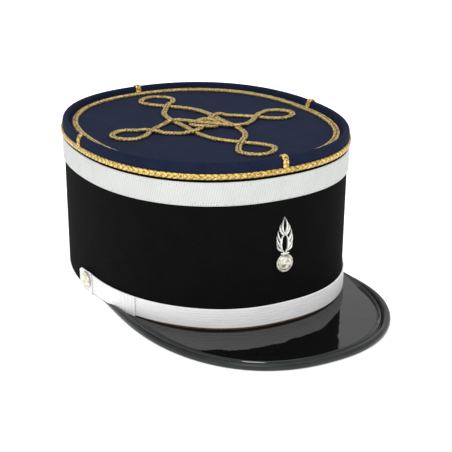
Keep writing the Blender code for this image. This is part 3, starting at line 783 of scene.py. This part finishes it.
def build_risers(material):
    """Four short braids over the rolled rim, down to the disc braid."""
    rows = [(SKIRT_OUTSIDE, BRAID_BOTTOM + BRAID_HEIGHT)]
    rows += rim_rows(12)
    rows += [(FOOT_OFFSET - inward, DISC_TOP + over) for inward, over in RISER_FOOT]
    rows = np.array(rows)
    climb = np.gradient(rows, axis=0)
    climb /= np.linalg.norm(climb, axis=1)[:, None]
    rows = rows + RISER_CLEARANCE * np.stack([climb[:, 1], -climb[:, 0]], axis=1)
    sizes = (RISER_WIDTH, RISER_THICKNESS, RISER_PITCH)
    for side, angle in [("front", 0.0), ("left", SIDE), ("rear", math.pi), ("right", -SIDE)]:
        path = wall_points(np.full(len(rows), angle), rows[:, 0], rows[:, 1], CROWN_RISE)
        out = np.array([math.sin(angle), -math.cos(angle), 0.0])
        up = climb[:, 1:2] * out[None, :] - climb[:, 0:1] * np.array([0, 0, 1.0])[None, :]
        item = braid("gold_riser_" + side, path, up, *sizes, False, **PLAIN_PLAIT)
        finish_piece(item, material, "gold_braid", "riser_" + side)


def closed_curve(rows, per_row):
    """A smooth closed curve through rows of (x, y)."""
    rows = np.array(rows)
    t = np.arange(per_row)[:, None] / per_row
    points = []
    for i in range(len(rows)):
        a, b, c, d = (rows[(i + k) % len(rows)] for k in (-1, 0, 1, 2))
        bend = 2 * a - 5 * b + 4 * c - d
        twist = 3 * b - a - 3 * c + d
        points.append(b + ((c - a) * t + bend * t ** 2 + twist * t ** 3) / 2)
    return np.concatenate(points)


def crest_samples(over, per_row):
    """Samples where a cord rides over another: each marked row, and the run between two of them."""
    crests = []
    for i, marked in enumerate(over):
        if marked:
            crests.append(i * per_row)
            if over[(i + 1) % len(over)]:
                crests += range(i * per_row + 1, (i + 1) * per_row)
    return crests


def out_and_back(rows, sizes):
    """A quarter figure's rows and their mirror image: (across, share of reach, lies over)."""
    out = [(side * sizes[kind], end, over == "both") for kind, side, end, over in rows]
    back = [(-side * sizes[kind], end, over != "") for kind, side, end, over in rows[-2:0:-1]]
    return out + back


def knot_braid(name, points, crests, material, node):
    """Braid laid on the disc along a closed path, humped over what it crosses."""
    places = run_length(points, True)
    total = places[-1]
    places = places[:-1]
    lift = np.zeros(len(points))
    for crest in crests:
        distance = np.abs(places - places[crest])
        distance = np.minimum(distance, total - distance)
        lift = np.maximum(lift, 1 - smooth_step((distance - KNOT_HUMP_FLAT) / KNOT_HUMP_RAMP))
    x, y = points[:, 0], points[:, 1]
    height = DISC_TOP - CROWN_RISE * y + GAP + lift * KNOT_LIFT
    path = np.stack([x, CENTRE_Y + y, height], axis=1)
    up = np.tile([0.0, CROWN_RISE, 1.0], (len(points), 1))
    sizes = (KNOT_CORD_WIDTH, KNOT_CORD_THICKNESS, FINE_PITCH)
    item = braid(name, path, up, *sizes, True, **FINE_PLAIT)
    finish_piece(item, material, "gold_braid", node)


def build_knot(material):
    """The crown knot: two figures of braid that cross each other, and the ring between them."""
    middle = np.array([KNOT_LONG_SIDEWAYS, 0.0])
    sizes = {"waist": KNOT_LONG_WAIST, "loop": KNOT_LONG_LOOP}
    rows = out_and_back(KNOT_LONG_ROWS, sizes)
    half = [(across, end * KNOT_LONG_REACH) for across, end, _ in rows]
    points = middle + closed_curve(half + [(-x, -y) for x, y in half], KNOT_ROW_SAMPLES)
    over = [row[2] for row in rows] * 2
    knot_braid("gold_knot_long", points, crest_samples(over, KNOT_ROW_SAMPLES), material, "knot_long")

    middle = np.array([KNOT_LONG_SIDEWAYS, -KNOT_WIDE_FORWARD])
    cosine, sine = math.cos(KNOT_WIDE_TURN), math.sin(KNOT_WIDE_TURN)
    skew = np.array([[cosine, sine], [-sine, cosine]])
    sizes = {"waist": KNOT_WIDE_WAIST, "loop": KNOT_WIDE_LOOP}
    rows = out_and_back(KNOT_WIDE_ROWS, sizes)
    half = [(end * KNOT_WIDE_REACH, across) for across, end, _ in rows]
    points = middle + closed_curve(half + [(-x, y) for x, y in half], KNOT_ROW_SAMPLES) @ skew
    over = [row[2] for row in rows] * 2
    # One of the two strands lies over the other in the middle
    over[len(half)] = True
    knot_braid("gold_knot_wide", points, crest_samples(over, KNOT_ROW_SAMPLES), material, "knot_wide")

    ring = round_angles(160)
    points = middle + np.stack([np.cos(ring), np.sin(ring)], axis=1) * KNOT_RING_RADIUS
    # The ring rides up at two opposite places
    crests = [len(ring) // 8, len(ring) // 8 + len(ring) // 2]
    knot_braid("gold_knot_ring", points, crests, material, "knot_ring")


# Peak


def peak_radius(angle):
    """Distance from the oval's axis to the middle of the peak's binding."""
    half_width = np.where(angle > 0, PEAK_LEFT_HALF_WIDTH, PEAK_RIGHT_HALF_WIDTH)
    shoulder = np.where(angle > 0, PEAK_LEFT_SHOULDER, PEAK_RIGHT_SHOULDER)
    low = np.zeros_like(angle)
    high = np.full_like(angle, 2 * PEAK_FRONT)
    for _ in range(50):
        middle = (low + high) / 2
        x = np.abs(middle * np.sin(angle)) / half_width
        y = np.maximum(middle * np.cos(angle) - shoulder, 0.0) / (PEAK_FRONT - shoulder)
        inside = x ** PEAK_POWER + y ** PEAK_POWER < 1
        low = np.where(inside, middle, low)
        high = np.where(inside, high, middle)
    return low


def last_angle(side, stand_out):
    """How far round one side the binding's middle line stands out from the wall by so much."""
    low, high = 0.0, BINDING_RIGHT_TAPER[1]
    for _ in range(40):
        middle = (low + high) / 2
        reach = float(peak_radius(np.array([side * middle]))[0])
        if reach - float(oval_radius(middle, 0.0)) > stand_out:
            low = middle
        else:
            high = middle
    return low


def outline(stand_out, count):
    """The binding's middle line from one end to the other: angles, points and inward normals."""
    angles = np.linspace(-last_angle(-1, stand_out), last_angle(1, stand_out), count)
    points = plan_points(angles, peak_radius(angles), np.zeros_like(angles))
    ahead = np.gradient(points, axis=0)
    inward = np.stack([-ahead[:, 1], ahead[:, 0], np.zeros(count)], axis=1)
    inward /= np.linalg.norm(inward, axis=1)[:, None]
    return angles, points, inward


def build_peak(material):
    """The lacquered plate, with a raised bead between two grooves inside its binding."""
    angles, line, inward = outline(PLATE_LEAST_REACH, PEAK_SAMPLES)
    room = np.hypot(line[:, 0], line[:, 1] - CENTRE_Y) - oval_radius(angles, 0.0) - GAP
    outward = np.stack([np.sin(angles), -np.cos(angles), np.zeros_like(angles)], axis=1)
    room = room * np.abs(np.einsum("ij,ij->i", outward, -inward))
    distance = np.concatenate([np.linspace(*PLATE_EDGE, 52), np.linspace(*PLATE_FLAT, 3)])
    relief = np.zeros_like(distance)
    for place, height, spread in PLATE_RELIEF:
        relief += height * np.exp(-(((distance - place) / spread) ** 2))
    scale = np.minimum(1.0, room / PLATE_EDGE_ROOM)
    edge = line[:, None] + inward[:, None] * (distance[None, :] * scale[:, None])[..., None]
    edge[..., 2] = PEAK_TOP + relief[None, :] * scale[:, None]
    wall_line = plan_points(angles, oval_radius(angles, 0.0) + GAP, PEAK_TOP)
    share = np.linspace(0.0, 1.0, 14)[1:]
    start = edge[:, -1]
    inner = start[:, None] + (wall_line - start)[:, None] * share[None, :, None]
    inner[..., 2] = PEAK_TOP
    top = np.concatenate([edge, inner], axis=1)
    # The flat underside needs only three of the top's rows
    under = top[:, [-1, 20, 0]].copy()
    under[..., 2] = PEAK_UNDERSIDE
    points = np.concatenate([top, under], axis=1)
    item = grid_object("patent_peak", points, False, True, sharp=60)
    finish_piece(item, material, "patent_leather", "peak")


def binding_size(angle):
    """The binding's radius, which tapers towards each end."""
    start, end = (np.where(angle > 0, *pair) for pair in zip(BINDING_LEFT_TAPER, BINDING_RIGHT_TAPER))
    share = (np.abs(angle) - start) / (end - start)
    return BINDING_RADIUS + (BINDING_END_RADIUS - BINDING_RADIUS) * smooth_step(share)


def build_binding(material):
    """The rolled binding, its outer side a little flattened."""
    angles, line, inward = outline(BINDING_LEAST_REACH, PEAK_SAMPLES)
    size = binding_size(angles)
    arc = round_angles(28)
    turn = np.stack([np.cos(arc), np.sin(arc)])
    across, upward = np.sign(turn) * np.abs(turn) ** BINDING_SQUARENESS
    points = line[:, None] - inward[:, None] * (size[:, None] * across[None, :])[..., None]
    points[..., 2] = size[:, None] * (1 + upward[None, :])
    radius = np.hypot(points[..., 0], points[..., 1] - CENTRE_Y)
    least = oval_radius(angles, 0.0)[:, None] + BINDING_CLEARANCE * (1 + across[None, :])
    push = np.maximum(least / radius, 1.0)
    points[..., 0] *= push
    points[..., 1] = CENTRE_Y + (points[..., 1] - CENTRE_Y) * push
    item = grid_object("rolled_binding", points, False, True, sharp=70)
    finish_piece(item, material, "black_leather", "peak_binding")


# Chin strap


def strap_edge(angle):
    """Height of the chin strap's lower edge, which dips towards the buttons."""
    start, end = (np.where(angle > 0, *pair) for pair in zip(STRAP_LEFT_SLOPE, STRAP_RIGHT_SLOPE))
    dip = np.where(angle > 0, STRAP_LEFT_DIP, STRAP_RIGHT_DIP)
    return STRAP_BOTTOM - dip * smooth_step((np.abs(angle) - start) / (end - start))


def ribs(pitch, depth, lengthwise=True):
    """Relief of a lace whose cords run along it, or across it."""
    def relief(along, height, wide):
        place = height if lengthwise else along
        return depth * (np.abs(np.sin(math.pi * place / pitch)) ** 0.7 - 1)
    return relief


def build_strap(lace_material, leather_material):
    """The lace strap and the leather edge under it."""
    angles = np.linspace(-STRAP_END, STRAP_END, 361)
    low = strap_edge(angles)
    levels = (low, low + STRAP_WIDTH)
    depths = (STRAP_INSIDE, STRAP_OUTSIDE)
    relief = ribs(STRAP_CORD_PITCH, STRAP_CORD_DEPTH)
    item = wall_band("strap_lace", angles, False, depths, levels, 57, relief, LACE_EDGE_ROUND)
    finish_piece(item, lace_material, "silver_strap", "chin_strap")

    end = SLIDER_ANGLE - (SLIDER_LENGTH / 2 + GAP) / float(oval_radius(SLIDER_ANGLE, STRAP_BOTTOM))
    angles = np.linspace(-end, end, 241)
    low = strap_edge(angles)
    levels = (low - BACKING_SHOW, low - BACKING_TUCK)
    depths = (GAP, GAP + BACKING_THICKNESS)
    item = wall_band("strap_leather", angles, False, depths, levels, 5, None, BACKING_EDGE_ROUND)
    finish_piece(item, leather_material, "brown_leather", "strap_backing")


def build_sliders(material):
    """Lace loops round the strap, one on each side, with cords across them."""
    reach = float(oval_radius(SLIDER_ANGLE, STRAP_BOTTOM))
    half = SLIDER_LENGTH / 2 / reach
    relief = ribs(SLIDER_CORD_PITCH, SLIDER_CORD_DEPTH, False)
    for side, sign in [("left", 1), ("right", -1)]:
        angles = sign * np.linspace(SLIDER_ANGLE - half, SLIDER_ANGLE + half, 61)
        low = strap_edge(angles) - SLIDER_OVERHANG
        levels = (low, low + STRAP_WIDTH + 2 * SLIDER_OVERHANG)
        depths = (TAB_INSIDE, TAB_INSIDE + SLIDER_THICKNESS)
        item = wall_band("slider_loop_" + side, angles, False, depths, levels, 25, relief, LACE_EDGE_ROUND)
        finish_piece(item, material, "silver_strap", "slider_" + side)


def build_tabs(material):
    """The stiff end of the strap under each button, lower towards the rear and rounded there."""
    reach = float(oval_radius(BUTTON_ANGLE, STRAP_BOTTOM))
    for side, sign in [("left", 1), ("right", -1)]:
        share = np.linspace(0.0, 1.0, 41)
        angles = sign * (BUTTON_ANGLE + (TAB_REAR * share - TAB_FRONT * (1 - share)) / reach)
        round_end = TAB_END_ROUND * smooth_step((share - 0.8) / 0.2) ** 2
        top = TAB_FRONT_TOP + (TAB_REAR_TOP - TAB_FRONT_TOP) * share - round_end
        levels = (TAB_BOTTOM + round_end, top)
        depths = (TAB_INSIDE, TAB_OUTSIDE)
        relief = ribs(STRAP_CORD_PITCH, TAB_CORD_DEPTH)
        item = wall_band("tab_" + side, angles, False, depths, levels, 33, relief, LACE_EDGE_ROUND)
        finish_piece(item, material, "silver_strap", "strap_tab_" + side)


def turned_points(profile):
    """Points of a turned section, given as rows of (radius, height), round its own axis."""
    profile = np.array(profile)
    angles = round_angles(TURNED_SIDES)
    x = profile[None, :, 0] * np.cos(angles)[:, None]
    y = profile[None, :, 0] * np.sin(angles)[:, None]
    z = np.broadcast_to(profile[None, :, 1], x.shape)
    return np.stack([x, y, z], axis=-1)


def dome(reach, foot, first, steps, tip):
    """A dome's section in shares of radius and depth, up to a tiny flat tip."""
    angles = [math.pi / 2 * i / steps for i in range(first, steps)]
    return [(reach * math.cos(a), foot + (1 - foot) * math.sin(a)) for a in angles] + [(tip, 1.0)]


def build_buttons(material):
    """Domed side buttons with a raised, rounded rim."""
    profile = BUTTON_RIM + dome(0.81, 0.52, 1, 12, 0.02)
    local = turned_points([(r * BUTTON_RADIUS, h * BUTTON_DEPTH) for r, h in profile])
    half_view = BUTTON_RADIUS / float(oval_radius(BUTTON_ANGLE, BUTTON_HEIGHT_ABOVE_TABLE))
    for side, sign in [("left", 1), ("right", -1)]:
        near = sign * (BUTTON_ANGLE + np.array([-half_view, 0.0, half_view]))
        seat = wall_points(near, TAB_OUTSIDE + GAP, BUTTON_HEIGHT_ABOVE_TABLE)
        along = (seat[2] - seat[0]) / np.linalg.norm(seat[2] - seat[0])
        out = sign * np.array([along[1], -along[0], 0.0])
        points = seat[1] + local[..., 0:1] * along + local[..., 2:3] * out
        points[..., 2] += local[..., 1]
        item = grid_object("side_button_" + side, points, True, False, sharp=60)
        finish_piece(item, material, "button_metal", "button_" + side)


def badge_points(sideways, up, out):
    """Points on the badge's plane, which leans back as the side wall does."""
    foot = float(oval_radius(0.0, BADGE_BOTTOM))
    lean = math.atan((foot - float(oval_radius(0.0, BADGE_BOTTOM + BADGE_HEIGHT))) / BADGE_HEIGHT)
    out = out + GAP
    y = CENTRE_Y - foot - out * math.cos(lean) + up * math.sin(lean)
    z = BADGE_BOTTOM + up * math.cos(lean) + out * math.sin(lean)
    return np.stack(np.broadcast_arrays(sideways, y, z), axis=-1)


def flame_tongue(name, rows, side, width, depth):
    """A curved tongue of flame: a ridge that follows rows of (sideways, up) and ends in a point."""
    rows = np.array(rows) * np.array([side, 1.0])
    t = np.linspace(0.0, 1.0, 33)
    knots = np.linspace(0.0, 1.0, len(rows))
    curve = np.polyfit(knots, rows, 3)
    line = sum(curve[k] * t[:, None] ** (3 - k) for k in range(4))
    ahead = np.gradient(line, axis=0)
    ahead /= np.linalg.norm(ahead, axis=1)[:, None]
    aside = np.stack([ahead[:, 1], -ahead[:, 0]], axis=1)
    size = width / 2 * np.clip(np.minimum(0.62 + 1.2 * t, (1.03 - t) * 2.4), 0.02, 1.0)
    arc = np.linspace(0.0, math.pi, 11)
    place = line[:, None] + aside[:, None] * (size[:, None] * np.cos(arc)[None, :])[..., None]
    out = depth * (size / size.max())[:, None] ** 0.5 * np.sin(arc)[None, :]
    return grid_object(name, badge_points(place[..., 0], place[..., 1], out), False, True, sharp=70)


def badge_ball():
    """The plain ball under the flame: a dome inside a raised rim, softly hammered."""
    local = turned_points(BALL_RIM + dome(0.79, 0.40, 0, 13, 0.015))
    angle = np.arctan2(local[..., 1], local[..., 0])
    reach = np.hypot(local[..., 0], local[..., 1])
    fade = smooth_step((0.78 - reach) / 0.2) * smooth_step(reach / 0.3)
    dents = np.sin(2 * angle + 5 * reach + 0.6) * fade
    out = BADGE_BALL_DEPTH * (local[..., 2] + BADGE_BALL_DENT * dents)
    sideways = BADGE_BALL_NARROWING * BADGE_BALL_RADIUS * local[..., 0]
    up = BADGE_BALL_RADIUS * (1 + local[..., 1])
    return grid_object("badge_ball", badge_points(sideways, up, out), True, False, sharp=70)


def badge_collar():
    """The ring between the ball and the flame."""
    turns = round_angles(14)
    across = np.linspace(-1.0, 1.0, 15)
    size = COLLAR_RADIUS * np.sqrt(1.02 - across ** 2)
    up = COLLAR_HEIGHT + size[:, None] * np.cos(turns)[None, :]
    out = COLLAR_OUT + size[:, None] * np.sin(turns)[None, :]
    sideways = np.broadcast_to(COLLAR_HALF_WIDTH * across[:, None], up.shape)
    points = badge_points(sideways, up, np.maximum(out, 0.0))
    return grid_object("badge_collar", points, False, True, sharp=70)


def build_badge(flame_material, ball_material):
    """The stamped ball and flame: curved tongues with a slit between the middle ones."""
    ball = badge_ball()
    finish_piece(ball, ball_material, "badge_metal", "badge")
    pieces = [badge_collar()]
    for number, (rows, width) in enumerate(FLAME_TONGUES):
        rows = [(x * BADGE_HALF_WIDTH, z * BADGE_HEIGHT) for x, z in rows]
        for side in (1, -1):
            name = "flame_tongue_%d_%s" % (number, "left" if side > 0 else "right")
            pieces.append(flame_tongue(name, rows, side, width, BADGE_PLATE_THICKNESS))
    for item in pieces:
        finish_piece(item, flame_material, "badge_metal")


# Stage


def build_stage():
    """A floor just under the cap, far wider than any view."""
    mesh = bpy.data.meshes.new("floor")
    corners = [(x * FLOOR_REACH, y * FLOOR_REACH, 0) for x, y in [(-1, -1), (1, -1), (1, 1), (-1, 1)]]
    mesh.from_pydata(corners, [], [(0, 1, 2, 3)])
    floor = bpy.data.objects.new("floor", mesh)
    floor.location.z = -FLOOR_DROP
    bpy.context.scene.collection.objects.link(floor)
    mesh.materials.append(pale_floor("pale_floor"))


def area_light(name, place, aim, size, power):
    """A round soft light at a place, turned to what it aims at."""
    light = bpy.data.lights.new(name, "AREA")
    light.shape = "DISK"
    light.size = size
    light.energy = power
    item = bpy.data.objects.new(name, light)
    item.location = place
    item.rotation_euler = (Vector(aim) - Vector(place)).to_track_quat("-Z", "Y").to_euler()
    bpy.context.scene.collection.objects.link(item)


def build_light():
    """A white studio: an even dome, a soft key in front on the wearer's right, and one above."""
    world = bpy.data.worlds.new("studio")
    world.use_nodes = True
    background = world.node_tree.nodes["Background"]
    background.inputs[0].default_value = (1.0, 1.0, 1.0, 1.0)
    background.inputs[1].default_value = DOME_STRENGTH
    bpy.context.scene.world = world
    middle = (0.0, CENTRE_Y, 0.05)
    area_light("key", (-0.9, -1.1, 1.5), middle, 0.8, 16.0)
    area_light("top", (0.3, 0.5, 1.8), middle, 1.2, 8.0)


def build_camera():
    """The camera at the fitted distance and angles, turned a little about its own line of sight."""
    azimuth, elevation = math.radians(CAMERA_AZIMUTH), math.radians(CAMERA_ELEVATION)
    level = math.cos(elevation)
    back = Vector((math.sin(azimuth) * level, -math.cos(azimuth) * level, math.sin(elevation)))
    right = Vector((math.cos(azimuth), math.sin(azimuth), 0))
    aim = Vector((0, CENTRE_Y, AIM_HEIGHT)) + right * AIM_SIDEWAYS
    data = bpy.data.cameras.new("camera")
    data.lens = CAMERA_LENS_MM
    data.sensor_width = CAMERA_SENSOR_MM
    camera = bpy.data.objects.new("camera", data)
    camera.location = aim + back * CAMERA_DISTANCE
    turn = (-back).to_track_quat("-Z", "Y")
    camera.rotation_mode = "QUATERNION"
    camera.rotation_quaternion = Quaternion(back, math.radians(CAMERA_ROLL)) @ turn
    bpy.context.scene.collection.objects.link(camera)
    bpy.context.scene.camera = camera


def gold_threads():
    """Bright thread for the rim and the risers, and softer thread for the braids on the disc."""
    # The fourth colour of each thread is painted shade, for the depths of its grooves.
    bright = gold(
        "bright_gold_thread", (0.20, 0.10, 0.012), (0.56, 0.35, 0.060), (0.96, 0.76, 0.30),
        (0.05, 0.022, 0.004), 5.0)
    soft = gold(
        "soft_gold_thread", (0.070, 0.038, 0.008), (0.30, 0.19, 0.040), (0.92, 0.72, 0.31),
        (0.025, 0.012, 0.003), 3.0)
    return bright, soft


def build():
    """The stage first, then every piece from the wall outwards."""
    scene = bpy.context.scene
    scene.view_settings.view_transform = "Standard"
    scene.view_settings.look = "None"
    black_wool = wool("black_wool", (0.0021, 0.0021, 0.0024), (0.0044, 0.0043, 0.0047), 0.0)
    navy_wool = wool("navy_wool", (0.0058, 0.0090, 0.025), (0.0125, 0.0178, 0.042), 0.01)
    bright, soft = gold_threads()
    strap_material = strap_lace("strap_lace", 0.0, 0.94)
    binding_leather = leather("binding_leather", (0.006, 0.008, 0.008), (0.014, 0.017, 0.017), 0.24, 0.3)
    edge_leather = leather("edge_leather", (0.075, 0.040, 0.022), (0.15, 0.080, 0.042), 0.5, 0.2)
    build_camera()
    build_stage()
    build_light()
    build_side_wall(black_wool)
    build_crown_top(navy_wool)
    build_lace(lace("woven_lace"))
    build_rim_braid(bright)
    build_disc_braid(soft)
    build_risers(bright)
    build_knot(soft)
    build_peak(patent("patent_lacquer"))
    build_binding(binding_leather)
    build_strap(strap_material, edge_leather)
    # Painted shade: the slider's lace is a darker copy of the strap's, to tone down the key light on its
    # face.
    build_sliders(strap_lace("slider_lace_painted_shade", SLIDER_CORD_PITCH, 0.88))
    build_tabs(strap_material)
    build_buttons(metal("button_silver", (0.46, 0.44, 0.36), (0.80, 0.78, 0.68), 0.30, 0.7))
    flame = metal("flame_silver", (0.56, 0.56, 0.52), (0.92, 0.92, 0.88), 0.34, 0.8)
    build_badge(flame, metal("ball_silver", (0.24, 0.23, 0.18), (0.76, 0.74, 0.63), 0.26, 0.85))


build()
